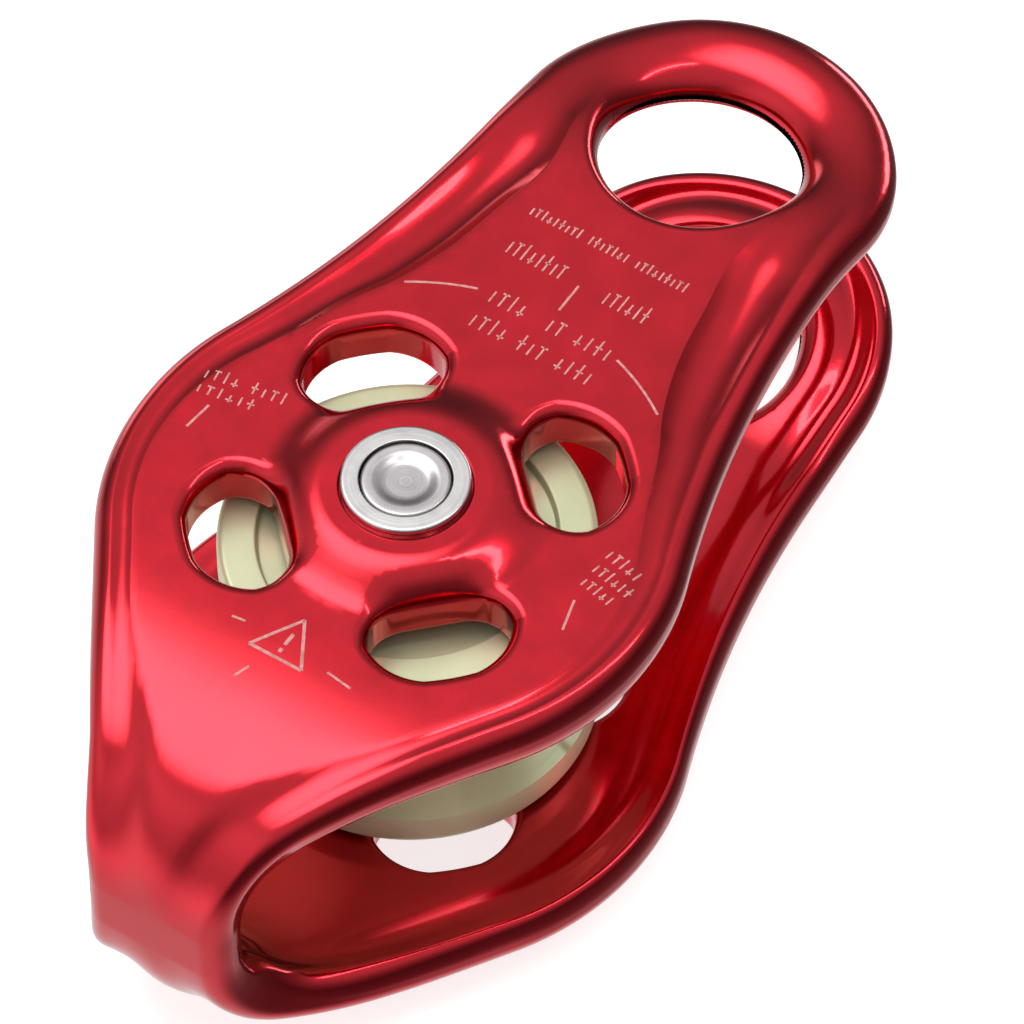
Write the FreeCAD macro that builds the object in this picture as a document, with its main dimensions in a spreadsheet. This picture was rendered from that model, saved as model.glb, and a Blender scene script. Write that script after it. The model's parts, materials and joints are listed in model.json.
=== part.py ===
import FreeCAD, Part
import math
import os
import re
import Sketcher

# Rope pulley: a forged U-shaped body with two pear-shaped cheeks, and a sheave that turns on two
# ball bearings about a riveted axle. Millimetres. The axle lies along Z through the origin, Y runs
# from the bend towards the eye, and X runs across the cheeks.

DIMENSIONS = {
    # body, seen along the axle
    "eye_offset": 54.3,
    "eye_outer_radius": 20.2,
    "eye_bore_radius": 10.5,
    "waist_radius": 73.0,
    "hub_radius": 30.0,
    "hub_upper_offset": -0.3,
    "hub_lower_offset": -2.0,
    "taper_angle": 32.0,
    "strap_half_width": 8.5,
    "strap_end_offset": -48.5,
    # body, seen along X
    "cheek_outer": 19.6,
    "cheek_thickness": 5.8,
    "eye_outer": 17.2,
    "joggle_start": 31.0,
    "joggle_end": 41.5,
    "profile_overrun": 2.0,
    "rim_round": 1.2,
    # boss round the axle
    "boss_base_radius": 11.0,
    "boss_top_radius": 8.9,
    "boss_top": 21.7,
    "boss_root": 1.0,
    "axle_bore_radius": 4.0,
    # lightening holes, in the direction from the axle through each hole
    "hole_inner_reach": 12.8,
    "hole_outer_radius": 22.8,
    "hole_half_width": 8.6,
    "hole_inner_corner": 2.8,
    "hole_outer_corner": 7.5,
    "hole_side_end": 16.4,
    "hole_arc_half_width": 3.6,
    # washers and axle
    "washer_radius": 6.6,
    "washer_seat": 20.7,
    "washer_top": 22.7,
    "washer_edge_round": 0.3,
    "head_recess_radius": 4.75,
    "head_recess_floor": 21.5,
    "head_radius": 4.6,
    "head_top": 22.55,
    "head_dish_radius": 3.3,
    "head_dish_depth": 0.35,
    "axle_radius": 3.98,
    "seat_gap": 0.04,
    # sheave
    "sheave_radius": 19.2,
    "sheave_half_width": 13.3,
    "rim_chamfer": 0.8,
    "groove_radius": 9.5,
    "groove_centre": 20.6,
    "side_recess_depth": 1.0,
    "side_recess_inner": 10.4,
    "side_recess_outer": 15.2,
    "shoulder_radius": 6.7,
    # bearings, 8 x 16 x 5
    "bearing_bore_radius": 4.0,
    "bearing_outer_radius": 8.0,
    "bearing_width": 5.0,
    "bearing_offset": 9.3,
    "ball_radius": 1.0,
    "ball_pitch_radius": 6.0,
    "raceway_radius": 1.03,
    "inner_land_radius": 5.35,
    "outer_land_radius": 6.65,
    "shield_seat_radius": 7.0,
    "shield_seat_depth": 0.6,
    "shield_thickness": 0.3,
    "shield_inner_radius": 5.47,
    "cage_inner_radius": 5.5,
    "cage_outer_radius": 6.5,
    "cage_height": 2.6,
    "cage_pocket_radius": 1.06,
    # spacers and retaining rings
    "spacer_outer_radius": 5.3,
    "collar_outer_radius": 5.3,
    "ring_outer_radius": 8.45,
    "ring_groove_radius": 8.5,
    "ring_inner_radius": 7.1,
    "ring_thickness": 0.8,
    "ring_groove_width": 0.9,
    "ring_opening": 1.6,
    "ring_lug_radius": 6.3,
    "ring_lug_half_width": 2.6,
}
BALL_COUNT = 9
HOLE_COUNT = 4
HOLE_FIRST_ANGLE = 45.0
SIDES = {"upper": 1, "lower": -1}

doc = FreeCAD.newDocument("rope_pulley")
sheet = doc.addObject("Spreadsheet::Sheet", "dims")
for row, (alias, number) in enumerate(DIMENSIONS.items(), start=1):
    sheet.set(f"A{row}", alias)
    sheet.set(f"B{row}", str(number))
    sheet.setAlias(f"B{row}", alias)
doc.recompute()

PREFIX = {alias: f"dims.{alias}" for alias in DIMENSIONS}
parts = {}


def dims(text):
    """Turns words such as 'cheek_outer - cheek_thickness' into an expression on the sheet."""
    return re.sub("[a-z_]+", lambda word: PREFIX.get(word.group(), word.group()), text)


def value(text):
    """The number that such an expression has now."""
    result = sheet.evalExpression(dims(text))
    return float(getattr(result, "Value", result))


def plane(body, role):
    return next(feature for feature in body.Origin.OriginFeatures if feature.Role == role)


def new_body(name):
    body = doc.addObject("PartDesign::Body", name)
    parts[name] = body
    return body


def new_sketch(body, name, role, turn=0.0):
    """A sketch on one of the body's own origin planes, turned in that plane by turn degrees."""
    sketch = body.newObject("Sketcher::SketchObject", name)
    sketch.AttachmentSupport = [(plane(body, role), "")]
    sketch.MapMode = "FlatFace"
    turned = FreeCAD.Rotation(FreeCAD.Vector(0, 0, 1), turn)
    sketch.AttachmentOffset = FreeCAD.Placement(FreeCAD.Vector(), turned)
    return sketch


def bind(sketch, kind, references, text):
    """A sketch dimension that follows the sheet."""
    index = sketch.addConstraint(Sketcher.Constraint(kind, *references, value(text)))
    sketch.setExpression(f"Constraints[{index}]", dims(text))


def arc_between(start, end, radius):
    """The short arc from start to end. It turns left where radius is positive."""
    chord = end - start
    half = chord.Length / 2
    height = math.sqrt(max(radius * radius - half * half, 0.0))
    left = FreeCAD.Vector(-chord.y, chord.x, 0).normalize()
    side = math.copysign(1.0, radius)
    centre = (start + end) * 0.5 + left * (height * side)
    return Part.Arc(start, centre - left * (abs(radius) * side), end)


def end_at(sketch, edge, point):
    """Which end of an edge lies at point: 1 for its start, 2 for its end."""
    gaps = [(sketch.getPoint(edge, end) - point).Length for end in (1, 2)]
    return 1 if gaps[0] < gaps[1] else 2


def outline(sketch, path):
    """Draws a closed outline and dimensions it from the sheet. Each entry of path is (x, y), with a
    line on to the next point, or (x, y, radius), with an arc, to the left where radius is positive.
    None in place of x or y puts the point on the axis."""
    points = [
        FreeCAD.Vector(*(0.0 if text is None else value(text) for text in entry[:2]), 0)
        for entry in path
    ]
    edges = []
    for entry, start, end in zip(path, points, points[1:] + points[:1]):
        curve = arc_between(start, end, value(entry[2])) if len(entry) == 3 else None
        edges.append(sketch.addGeometry(curve or Part.LineSegment(start, end), False))
    for i, (entry, point) in enumerate(zip(path, points)):
        edge = edges[i]
        before = edges[i - 1]
        here = (edge, end_at(sketch, edge, point))
        there = (before, end_at(sketch, before, point))
        sketch.addConstraint(Sketcher.Constraint("Coincident", *there, *here))
        for text, kind, axis in ((entry[0], "DistanceX", -2), (entry[1], "DistanceY", -1)):
            if text is None:
                sketch.addConstraint(Sketcher.Constraint("PointOnObject", *here, axis))
            else:
                bind(sketch, kind, (-1, 1, *here), text)
        if len(entry) == 3:
            bind(sketch, "Radius", (edge,), entry[2].lstrip("- "))


def circle(sketch, radius, x=None, y=None):
    """A circle dimensioned from the sheet."""
    centre = FreeCAD.Vector(*(0.0 if text is None else value(text) for text in (x, y)), 0)
    up = FreeCAD.Vector(0, 0, 1)
    edge = sketch.addGeometry(Part.Circle(centre, up, value(radius)), False)
    for text, kind, axis in ((x, "DistanceX", -2), (y, "DistanceY", -1)):
        if text is None:
            sketch.addConstraint(Sketcher.Constraint("PointOnObject", edge, 3, axis))
        else:
            bind(sketch, kind, (-1, 1, edge, 3), text)
    bind(sketch, "Radius", (edge,), radius)


def rectangle(sketch, left, bottom, right, top):
    outline(sketch, [(left, bottom), (right, bottom), (right, top), (left, top)])


def pad(body, name, sketch, length):
    """Material to both sides of the sketch, length in all."""
    feature = body.newObject("PartDesign::Pad", name)
    feature.Profile = sketch
    feature.Midplane = True
    feature.setExpression("Length", dims(length))
    return feature


def pocket(body, name, sketch, length):
    """A cut to both sides of the sketch, length in all. It has to take material away."""
    doc.recompute()
    before = body.Shape.Volume
    feature = body.newObject("PartDesign::Pocket", name)
    feature.Profile = sketch
    feature.Midplane = True
    feature.setExpression("Length", dims(length))
    doc.recompute()
    if body.Shape.Volume >= before:
        raise RuntimeError(f"{name} cuts nothing")
    return feature


def turned(name, path, offset=None, body=None, cut=False):
    """A ring or spool turned about Z from its half section: x is the radius and y the height."""
    body = body or new_body(name)
    sketch = new_sketch(body, name + "_section", "XZ_Plane")
    outline(sketch, path)
    feature = body.newObject("PartDesign::Groove" if cut else "PartDesign::Revolution", name + "_turn")
    feature.Profile = sketch
    feature.ReferenceAxis = (sketch, ["V_Axis"])
    feature.Angle = 360
    if offset:
        body.setExpression(".Placement.Base.z", dims(offset))
    return body


def mirrored(body, name, features):
    """The same features again on the other side of the XY plane."""
    copy = body.newObject("PartDesign::Mirrored", name)
    copy.Originals = features
    copy.MirrorPlane = (plane(body, "XY_Plane"), [""])
    body.Tip = copy
    return copy


def mirrored_path(path):
    """A path down the right-hand side, closed up the left-hand side. The first and last points lie
    on the Y axis, and an arc bends the same way on both sides."""
    left = []
    for entry, after in zip(path[:0:-1], path[-2::-1]):
        x = None if entry[0] is None else "-1 * (" + entry[0] + ")"
        left.append((x, entry[1], *after[2:]))
    return path[:-1] + left


def waist_path():
    """The cheeks' outline from the eye's crown round by the right-hand side to the bend. The waist's
    arc touches the eye's circle and the hub's, so its centre is a known distance from each. Below
    the hub the outline tapers to the strap."""
    span = "(eye_offset - hub_upper_offset)"
    hub_reach = "(hub_radius + waist_radius)"
    eye_reach = "(eye_outer_radius + waist_radius)"
    along = f"(({hub_reach} ^ 2 - {eye_reach} ^ 2 + {span} ^ 2) / (2 * {span}))"
    across = f"sqrt({hub_reach} ^ 2 - {along} ^ 2)"
    cosine = "cos(taper_angle * 1 deg)"
    sine = "sin(taper_angle * 1 deg)"
    taper_x = f"(hub_radius * {cosine})"
    taper_y = f"(hub_lower_offset - hub_radius * {sine})"
    return [
        (None, "eye_offset + eye_outer_radius", "-1 * eye_outer_radius"),
        ("eye_outer_radius", "eye_offset", "-1 * eye_outer_radius"),
        (
            f"eye_outer_radius * {across} / {eye_reach}",
            f"eye_offset - eye_outer_radius * ({span} - {along}) / {eye_reach}",
            "waist_radius",
        ),
        (
            f"hub_radius * {across} / {hub_reach}",
            f"hub_upper_offset + hub_radius * {along} / {hub_reach}",
            "-1 * hub_radius",
        ),
        ("hub_radius", "hub_upper_offset"),
        ("hub_radius", "hub_lower_offset", "-1 * hub_radius"),
        (taper_x, taper_y),
        ("strap_half_width", f"{taper_y} - ({taper_x} - strap_half_width) * {cosine} / {sine}"),
        ("strap_half_width", "strap_end_offset - profile_overrun"),
        (None, "strap_end_offset - profile_overrun"),
    ]


def profile_path():
    """The body's section in the YZ plane: two cheeks that draw together towards the eye, and the
    bend that joins them. x is the object's Y here, and y its Z."""
    far_end = "eye_offset + eye_outer_radius + profile_overrun"
    bend = "strap_end_offset + cheek_outer"
    inner = "(cheek_outer - cheek_thickness)"
    eye_inner = "(eye_outer - cheek_thickness)"
    outside = [
        (far_end, "eye_outer"),
        ("joggle_end", "eye_outer"),
        ("joggle_start", "cheek_outer"),
        (bend, "cheek_outer", "cheek_outer"),
        ("strap_end_offset", None, "cheek_outer"),
        (bend, "-1 * cheek_outer"),
        ("joggle_start", "-1 * cheek_outer"),
        ("joggle_end", "-1 * eye_outer"),
        (far_end, "-1 * eye_outer"),
    ]
    inside = [
        (far_end, f"-1 * {eye_inner}"),
        ("joggle_end", f"-1 * {eye_inner}"),
        ("joggle_start", f"-1 * {inner}"),
        (bend, f"-1 * {inner}", f"-1 * {inner}"),
        ("strap_end_offset + cheek_thickness", None, f"-1 * {inner}"),
        (bend, inner),
        ("joggle_start", inner),
        ("joggle_end", eye_inner),
        (far_end, eye_inner),
    ]
    return outside + inside


def hole_path():
    """A lightening hole: straight towards the axle, and round towards the rim. x points outwards."""
    arc_reach = "sqrt(hole_outer_radius ^ 2 - hole_arc_half_width ^ 2)"
    corner = "(hole_half_width - hole_inner_corner)"
    return [
        ("hole_inner_reach", f"-1 * {corner}", "hole_inner_corner"),
        ("hole_inner_reach + hole_inner_corner", "-1 * hole_half_width"),
        ("hole_side_end", "-1 * hole_half_width", "hole_outer_corner"),
        (arc_reach, "-1 * hole_arc_half_width", "hole_outer_radius"),
        (arc_reach, "hole_arc_half_width", "hole_outer_corner"),
        ("hole_side_end", "hole_half_width"),
        ("hole_inner_reach + hole_inner_corner", "hole_half_width", "hole_inner_corner"),
        ("hole_inner_reach", corner),
    ]


def forged_body():
    body = new_body("forged_body")

    side = new_sketch(body, "side_profile", "YZ_Plane")
    outline(side, profile_path())
    pad(body, "u_section", side, "2 * hub_radius + 2 * profile_overrun")

    plan = new_sketch(body, "plan_outline", "XY_Plane")
    margin = "(hub_radius + 2 * profile_overrun)"
    top = "eye_offset + eye_outer_radius + 2 * profile_overrun"
    rectangle(plan, f"-1 * {margin}", "strap_end_offset - 2 * profile_overrun", margin, top)
    outline(plan, mirrored_path(waist_path()))
    pocket(body, "outline_cut", plan, "4 * cheek_outer")

    boss = [
        ("boss_base_radius", "cheek_outer - boss_root"),
        ("boss_base_radius", "cheek_outer"),
        ("boss_top_radius", "boss_top"),
        ("washer_radius + seat_gap", "boss_top"),
        ("washer_radius + seat_gap", "washer_seat"),
        ("axle_bore_radius", "washer_seat"),
        ("axle_bore_radius", "cheek_outer - boss_root"),
    ]
    turned("boss", boss, body=body)
    mirrored(body, "boss_below", [doc.getObject("boss_turn")])

    round_holes = new_sketch(body, "round_holes", "XY_Plane")
    circle(round_holes, "axle_bore_radius")
    circle(round_holes, "eye_bore_radius", y="eye_offset")
    pocket(body, "bores", round_holes, "4 * cheek_outer")

    opening = new_sketch(body, "lightening_outline", "XY_Plane", HOLE_FIRST_ANGLE)
    outline(opening, hole_path())
    first_hole = pocket(body, "lightening_hole", opening, "4 * cheek_outer")
    pattern = body.newObject("PartDesign::PolarPattern", "lightening_holes")
    pattern.Originals = [first_hole]
    pattern.Axis = (plane(body, "Z_Axis"), [""])
    pattern.Angle = 360
    pattern.Occurrences = HOLE_COUNT
    body.Tip = pattern
    doc.recompute()

    rims = [f"Edge{i + 1}" for i, edge in enumerate(body.Shape.Edges) if is_eye_rim(edge)]
    rounding = body.newObject("PartDesign::Fillet", "eye_rims")
    rounding.Base = (pattern, rims)
    rounding.setExpression("Radius", dims("rim_round"))
    body.Tip = rounding


def is_eye_rim(edge):
    curve = edge.Curve
    return curve.TypeId == "Part::GeomCircle" and abs(curve.Radius - value("eye_bore_radius")) < 0.01


def sheave():
    groove_half = "sqrt(groove_radius ^ 2 - (groove_centre - sheave_radius) ^ 2)"
    bore = "bearing_outer_radius"
    ring_start = "bearing_offset + bearing_width / 2"
    shoulder = "bearing_offset - bearing_width / 2"
    above = [
        ("sheave_radius", groove_half),
        ("sheave_radius", "sheave_half_width - rim_chamfer"),
        ("sheave_radius - rim_chamfer", "sheave_half_width"),
        ("side_recess_outer", "sheave_half_width"),
        ("side_recess_outer", "sheave_half_width - side_recess_depth"),
        ("side_recess_inner", "sheave_half_width - side_recess_depth"),
        ("side_recess_inner", "sheave_half_width"),
        (bore, "sheave_half_width"),
        (bore, f"{ring_start} + ring_groove_width"),
        ("ring_groove_radius", f"{ring_start} + ring_groove_width"),
        ("ring_groove_radius", ring_start),
        (bore, ring_start),
        (bore, shoulder),
        ("shoulder_radius", shoulder),
    ]
    below = [(x, f"-1 * ({y})") for x, y in reversed(above)]
    root = ("groove_centre - groove_radius", None, "-1 * groove_radius")
    below[-1] = (*below[-1], "-1 * groove_radius")
    turned("sheave", above + below + [root])


def axle():
    """The riveted axle: a shank with a dished head at each end."""
    above = [
        ("axle_radius", "head_recess_floor + seat_gap"),
        ("head_radius", "head_recess_floor + seat_gap"),
        ("head_radius", "head_top - head_dish_depth"),
        ("head_radius - head_dish_depth", "head_top"),
        ("head_dish_radius", "head_top"),
        (None, "head_top - head_dish_depth"),
    ]
    below = [(x, f"-1 * ({y})") for x, y in reversed(above)]
    turned("axle_pin", above + below)


def washer(side, sign):
    path = [
        ("axle_bore_radius", "washer_seat"),
        ("washer_radius", "washer_seat"),
        ("washer_radius", "washer_top - washer_edge_round"),
        ("washer_radius - washer_edge_round", "washer_top"),
        ("head_recess_radius", "washer_top"),
        ("head_recess_radius", "head_recess_floor"),
        ("axle_bore_radius", "head_recess_floor"),
    ]
    turned(f"{side}_washer", [(x, f"{sign} * ({y})") for x, y in path])


def bearing(side, sign):
    """A shielded ball bearing: two races, nine balls in a cage, and a shield each side."""
    offset = f"{sign} * bearing_offset"
    half = "bearing_width / 2"
    inner_groove = "sqrt(raceway_radius ^ 2 - (ball_pitch_radius - inner_land_radius) ^ 2)"
    outer_groove = "sqrt(raceway_radius ^ 2 - (outer_land_radius - ball_pitch_radius) ^ 2)"
    turned(f"{side}_inner_race", [
        ("bearing_bore_radius", f"-1 * {half}"),
        ("inner_land_radius", f"-1 * {half}"),
        ("inner_land_radius", f"-1 * {inner_groove}", "-1 * raceway_radius"),
        ("inner_land_radius", inner_groove),
        ("inner_land_radius", half),
        ("bearing_bore_radius", half),
    ], offset)
    turned(f"{side}_outer_race", [
        ("bearing_outer_radius", half),
        ("shield_seat_radius", half),
        ("shield_seat_radius", f"{half} - shield_seat_depth"),
        ("outer_land_radius", f"{half} - shield_seat_depth"),
        ("outer_land_radius", outer_groove, "-1 * raceway_radius"),
        ("outer_land_radius", f"-1 * {outer_groove}"),
        ("outer_land_radius", f"shield_seat_depth - {half}"),
        ("shield_seat_radius", f"shield_seat_depth - {half}"),
        ("shield_seat_radius", f"-1 * {half}"),
        ("bearing_outer_radius", f"-1 * {half}"),
    ], offset)
    for face, facing in (("outer", sign), ("inner", -sign)):
        low = f"{facing} * ({half} - shield_seat_depth)"
        high = f"{facing} * ({half} - shield_seat_depth + shield_thickness)"
        turned(f"{side}_{face}_shield", [
            ("shield_inner_radius", low),
            ("shield_seat_radius", low),
            ("shield_seat_radius", high),
            ("shield_inner_radius", high),
        ], offset)
    balls(side, offset)
    cage(side, offset)


def balls(side, offset):
    """Balls evenly spaced round the bearing."""
    name = f"{side}_balls"
    spheres = []
    for i in range(BALL_COUNT):
        sphere = doc.addObject("Part::Sphere", f"{name}_{i + 1}")
        angle = 360 * i / BALL_COUNT
        sphere.setExpression("Radius", dims("ball_radius"))
        sphere.setExpression(".Placement.Base.x", dims(f"ball_pitch_radius * cos({angle} deg)"))
        sphere.setExpression(".Placement.Base.y", dims(f"ball_pitch_radius * sin({angle} deg)"))
        sphere.setExpression(".Placement.Base.z", dims(offset))
        spheres.append(sphere)
    parts[name] = doc.addObject("Part::Compound", name)
    parts[name].Links = spheres


def cylinder(name, radius, height, offset):
    """A cylinder about Z, with its middle at offset."""
    solid = doc.addObject("Part::Cylinder", name)
    solid.setExpression("Radius", dims(radius))
    solid.setExpression("Height", dims(height))
    solid.setExpression(".Placement.Base.z", dims(f"{offset} - ({height}) / 2"))
    return solid


def cut(name, base, tool):
    result = doc.addObject("Part::Cut", name)
    result.Base = base
    result.Tool = tool
    return result


def cage(side, offset):
    """A ring with a round pocket drilled through it towards the axle for each ball."""
    name = f"{side}_cage"
    outside = cylinder(f"{name}_outside", "cage_outer_radius", "cage_height", offset)
    inside = cylinder(f"{name}_inside", "cage_inner_radius", "2 * cage_height", offset)
    pockets = []
    for i in range(BALL_COUNT):
        drill = doc.addObject("Part::Cylinder", f"{name}_pocket_{i + 1}")
        drill.setExpression("Radius", dims("cage_pocket_radius"))
        drill.setExpression("Height", dims("2 * cage_outer_radius"))
        turn = FreeCAD.Rotation(FreeCAD.Vector(0, 0, 1), 360 * i / BALL_COUNT)
        lay_down = FreeCAD.Rotation(FreeCAD.Vector(0, 1, 0), 90)
        drill.Placement = FreeCAD.Placement(FreeCAD.Vector(), turn * lay_down)
        drill.setExpression(".Placement.Base.z", dims(offset))
        pockets.append(drill)
    drills = doc.addObject("Part::Compound", f"{name}_pockets")
    drills.Links = pockets
    ring = cut(f"{name}_ring", outside, inside)
    parts[name] = cut(name, ring, drills)


def spacers():
    """The sleeve between the two inner races, and the collars that keep the sheave off the cheeks."""
    gap = "bearing_offset - bearing_width / 2"
    turned("centre_sleeve", [
        ("bearing_bore_radius", f"-1 * ({gap})"),
        ("spacer_outer_radius", f"-1 * ({gap})"),
        ("spacer_outer_radius", gap),
        ("bearing_bore_radius", gap),
    ])
    for side, sign in SIDES.items():
        start = f"{sign} * (bearing_offset + bearing_width / 2)"
        end = f"{sign} * (cheek_outer - cheek_thickness)"
        turned(f"{side}_collar", [
            ("bearing_bore_radius", start),
            ("collar_outer_radius", start),
            ("collar_outer_radius", end),
            ("bearing_bore_radius", end),
        ])


def retaining_ring(side, sign):
    """An internal retaining ring: a split ring with two lugs for pliers."""
    name = f"{side}_retaining_ring"
    body = new_body(name)
    sketch = new_sketch(body, f"{name}_section", "XY_Plane")
    half = "(ring_opening / 2)"
    lug = "ring_lug_half_width"
    outer_x = f"sqrt(ring_outer_radius ^ 2 - {half} ^ 2)"
    inner_x = f"sqrt(ring_inner_radius ^ 2 - {lug} ^ 2)"
    lug_x = f"sqrt(ring_lug_radius ^ 2 - {lug} ^ 2)"
    outline(sketch, [
        (outer_x, half, "ring_outer_radius"),
        (None, "ring_outer_radius", "ring_outer_radius"),
        ("-1 * ring_outer_radius", None, "ring_outer_radius"),
        (None, "-1 * ring_outer_radius", "ring_outer_radius"),
        (outer_x, f"-1 * {half}"),
        (lug_x, f"-1 * {half}"),
        (lug_x, f"-1 * {lug}"),
        (inner_x, f"-1 * {lug}", "-1 * ring_inner_radius"),
        (None, "-1 * ring_inner_radius", "-1 * ring_inner_radius"),
        ("-1 * ring_inner_radius", None, "-1 * ring_inner_radius"),
        (None, "ring_inner_radius", "-1 * ring_inner_radius"),
        (inner_x, lug),
        (lug_x, lug),
        (lug_x, half),
    ])
    pad(body, f"{name}_plate", sketch, "ring_thickness")
    height = f"{sign} * (bearing_offset + bearing_width / 2 + ring_thickness / 2)"
    body.setExpression(".Placement.Base.z", dims(height))


forged_body()
sheave()
axle()
spacers()
for side, sign in SIDES.items():
    washer(side, sign)
    bearing(side, sign)
    retaining_ring(side, sign)
doc.recompute()

faults = [
    f"{item.Label}: {item.State}"
    for item in doc.Objects
    if "Invalid" in item.State or "Error" in item.State
]
faults += [
    f"{name}: no valid shape"
    for name, item in parts.items()
    if item.Shape.isNull() or not item.Shape.isValid()
]
if faults:
    raise RuntimeError("; ".join(faults))

os.makedirs("parts", exist_ok=True)
for name, item in parts.items():
    item.Label = name
    item.Shape.exportStep(f"parts/{name}.step")
    print(f"{name:24s} {len(item.Shape.Solids):2d} solids {item.Shape.Volume:10.1f} mm3")
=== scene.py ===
import json
import math

import bpy
import numpy as np
from mathutils import Matrix, Vector
from mathutils.geometry import delaunay_2d_cdt


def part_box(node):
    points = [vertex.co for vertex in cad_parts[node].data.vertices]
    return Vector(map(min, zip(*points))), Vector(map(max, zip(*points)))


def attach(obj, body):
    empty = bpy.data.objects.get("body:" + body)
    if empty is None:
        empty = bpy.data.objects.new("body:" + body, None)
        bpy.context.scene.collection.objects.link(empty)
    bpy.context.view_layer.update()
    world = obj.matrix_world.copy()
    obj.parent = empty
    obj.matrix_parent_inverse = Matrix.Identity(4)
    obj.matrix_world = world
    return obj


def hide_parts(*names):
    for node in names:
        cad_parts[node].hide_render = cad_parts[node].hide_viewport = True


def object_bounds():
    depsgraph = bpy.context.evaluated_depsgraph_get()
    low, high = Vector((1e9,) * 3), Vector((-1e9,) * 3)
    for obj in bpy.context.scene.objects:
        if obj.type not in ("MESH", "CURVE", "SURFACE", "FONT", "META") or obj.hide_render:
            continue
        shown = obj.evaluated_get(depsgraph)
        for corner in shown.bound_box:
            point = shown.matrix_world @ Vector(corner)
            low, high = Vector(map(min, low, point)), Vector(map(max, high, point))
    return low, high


# Rope pulley. Shapes are worked out in millimetres, in the frame of the CAD model: the axle lies
# along Z, and the eye is towards +Y. They become metres only when a mesh is made.
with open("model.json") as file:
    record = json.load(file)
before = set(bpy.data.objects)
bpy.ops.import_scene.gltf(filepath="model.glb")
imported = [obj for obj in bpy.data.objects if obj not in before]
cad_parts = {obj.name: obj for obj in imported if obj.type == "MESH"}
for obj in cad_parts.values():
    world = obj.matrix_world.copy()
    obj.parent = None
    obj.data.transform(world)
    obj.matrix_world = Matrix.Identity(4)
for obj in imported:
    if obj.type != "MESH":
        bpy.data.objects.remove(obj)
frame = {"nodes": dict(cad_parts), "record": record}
cad_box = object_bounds()
MM = 0.001


def box_mm(node):
    low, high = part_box(node)
    return np.array(low) / MM, np.array(high) / MM


EYE_MOUNT = next(m for m in frame["record"]["mounts"] if m["name"] == "eye")
BODY_LOW, BODY_HIGH = box_mm("forged_body")
SHEAVE_R, _, SHEAVE_TOP = box_mm("sheave")[1]
WASHER_LOW, WASHER_HIGH = box_mm("upper_washer")
PIN_HIGH = box_mm("axle_pin")[1]
RACE_LOW, RACE_HIGH = box_mm("upper_outer_race")
RING_LOW, RING_HIGH = box_mm("upper_retaining_ring")

# The body's plan. The eye, the hub's radius and the length come from the CAD, and the rest is fitted
# to the photograph. The hub has an arc above and an arc below, with a short straight run between
# them, so the two centres have to differ.
EYE_Y = EYE_MOUNT["pos_m"][1] / MM
EYE_BORE = EYE_MOUNT["dims"]["r_mm"]
EYE_R = BODY_HIGH[1] - EYE_Y
WAIST_R = 125.0
HUB_R = BODY_HIGH[0]
HUB_TOP_Y = -2.0
HUB_LOW_Y = -2.3
TAPER = math.radians(33.0)
STRAP_HALF = 8.4
STRAP_FILLET = 28.0
AXLE_BORE = 4.0
SEAT_GAP = 0.12
SEAT_R = WASHER_HIGH[0] + SEAT_GAP
SEAT_Z = WASHER_LOW[2]

# The body's section: two cheeks joined by a bend, which ends a little before the CAD's, and eyes
# that lean in towards each other
CHEEK_OUTER = 19.6
HALF_WALL = 2.9
CHEEK_MID = CHEEK_OUTER - HALF_WALL
BEND_SHORTER = 1.7
STRAP_END = BODY_LOW[1] + BEND_SHORTER
LEAN_START = 44.7
LEAN_LENGTH = 24.3
LEAN = 3.64

# How far apart the points of the plan are along its edges, and along its two axes
EDGE_STEP = 0.55
AXIS_STEP = 0.8
# Points this near to a path, or to the plan's own edges, count as on it
ON_PATH = 0.001
ON_EDGE = 0.01

# ---------------------------------------------------------------------------------------------
# Curves and small helpers
# ---------------------------------------------------------------------------------------------


def fade(x, low, high):
    """0 below low, 1 above high, and smooth between them."""
    u = np.clip((x - low) / (high - low), 0.0, 1.0)
    return u * u * (3.0 - 2.0 * u)


def soft_min(a, b, width):
    """The smaller of a and b, with a smooth change from one to the other."""
    return 0.5 * (a + b - np.sqrt((a - b) ** 2 + width * width))


def soft_above(x, width):
    """x where it is above 0, and 0 below, with a smooth change."""
    return 0.5 * (x + np.sqrt(x * x + width * width))


def bell(x, width):
    """1 at 0, falling off smoothly on both sides."""
    return np.exp(-((x / width) ** 2))


def rise(distance, reach, power=2.0):
    """A quarter of an ellipse: 0 at the edge, with a wall there, and level at 1 from reach on."""
    u = 1.0 - np.clip(distance / reach, 0.0, 1.0)
    return (1.0 - u**power) ** (1.0 / power)


def follow(x, *knots):
    """A smooth curve through knots, pairs (x, value) in rising order of x."""
    xs, ys = np.array(knots, float).T
    slopes = np.gradient(ys, xs)
    x = np.clip(x, xs[0], xs[-1])
    i = np.clip(np.searchsorted(xs, x, side="right") - 1, 0, len(xs) - 2)
    span = xs[i + 1] - xs[i]
    u = (x - xs[i]) / span
    start = ys[i] * (1 + 2 * u) + slopes[i] * span * u
    end = ys[i + 1] * (3 - 2 * u) + slopes[i + 1] * span * (u - 1)
    return start * (1 - u) ** 2 + end * u * u


def arc(centre, radius, start, end):
    """Points along an arc, without its last point. Angles are in radians."""
    count = max(2, math.ceil(abs(end - start) * radius / EDGE_STEP))
    angles = start + (end - start) * np.arange(count) / count
    return np.c_[centre[0] + radius * np.cos(angles), centre[1] + radius * np.sin(angles)]


def line(start, end, step=EDGE_STEP):
    """Points along a straight run, without its last point."""
    start, end = np.array(start, float), np.array(end, float)
    count = max(1, math.ceil(np.linalg.norm(end - start) / step))
    return start + (end - start) * (np.arange(count) / count)[:, None]


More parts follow.
